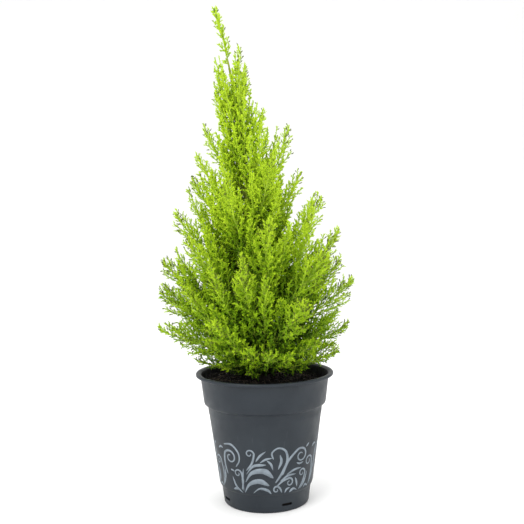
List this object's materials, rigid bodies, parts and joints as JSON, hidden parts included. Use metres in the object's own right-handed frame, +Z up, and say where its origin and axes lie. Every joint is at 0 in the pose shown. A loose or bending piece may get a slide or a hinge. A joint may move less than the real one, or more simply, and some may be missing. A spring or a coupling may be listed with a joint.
{
  "type": "potted monterey cypress",
  "caption": "Young golden Monterey cypress, a feathery lime-green cone with a leaning leader, growing in a tapered slate-grey plastic nursery pot filled with peat.",
  "frame": {"origin": "middle of the pot's flat underside, on the ground it stands on", "axes": "+Z up along the pot's axis, -Y towards the front that the picture shows, +X to the viewer's right"},
  "size_m": [0.1956, 0.185, 0.5007],
  "materials": {
    "pot_plastic": "slate grey moulded plastic, slightly satin, with a pale printed scroll band",
    "peat": "dark moist peat compost with light fibres",
    "bark": "young reddish-brown bark",
    "needles": "bright lime-green awl-shaped needles"
  },
  "bodies": {
    "root": {"pot": "pot_plastic", "soil": "peat", "trunk": "bark", "bough_01": "bark", "bough_02": "bark", "bough_03": "bark", "bough_04": "bark", "bough_05": "bark", "bough_06": "bark", "bough_07": "bark", "bough_08": "bark", "bough_09": "bark", "bough_10": "bark", "bough_11": "bark", "bough_12": "bark", "bough_13": "bark", "bough_14": "bark", "bough_15": "bark", "foliage_01": "needles", "foliage_02": "needles", "foliage_03": "needles", "foliage_04": "needles", "foliage_05": "needles", "foliage_06": "needles", "foliage_07": "needles", "foliage_08": "needles", "foliage_09": "needles", "foliage_10": "needles", "foliage_11": "needles", "foliage_12": "needles", "foliage_13": "needles", "foliage_14": "needles", "foliage_15": "needles", "foliage_16": "needles", "foliage_17": "needles", "foliage_18": "needles", "foliage_19": "needles", "foliage_20": "needles", "foliage_21": "needles", "foliage_22": "needles", "foliage_23": "needles", "foliage_24": "needles", "foliage_25": "needles", "foliage_26": "needles", "foliage_27": "needles", "foliage_28": "needles", "foliage_29": "needles", "foliage_30": "needles", "foliage_31": "needles", "foliage_32": "needles", "foliage_33": "needles", "foliage_34": "needles", "foliage_35": "needles", "foliage_36": "needles", "foliage_37": "needles", "foliage_38": "needles", "foliage_39": "needles", "foliage_40": "needles", "foliage_leader": "needles"}
  },
  "joints": []
}
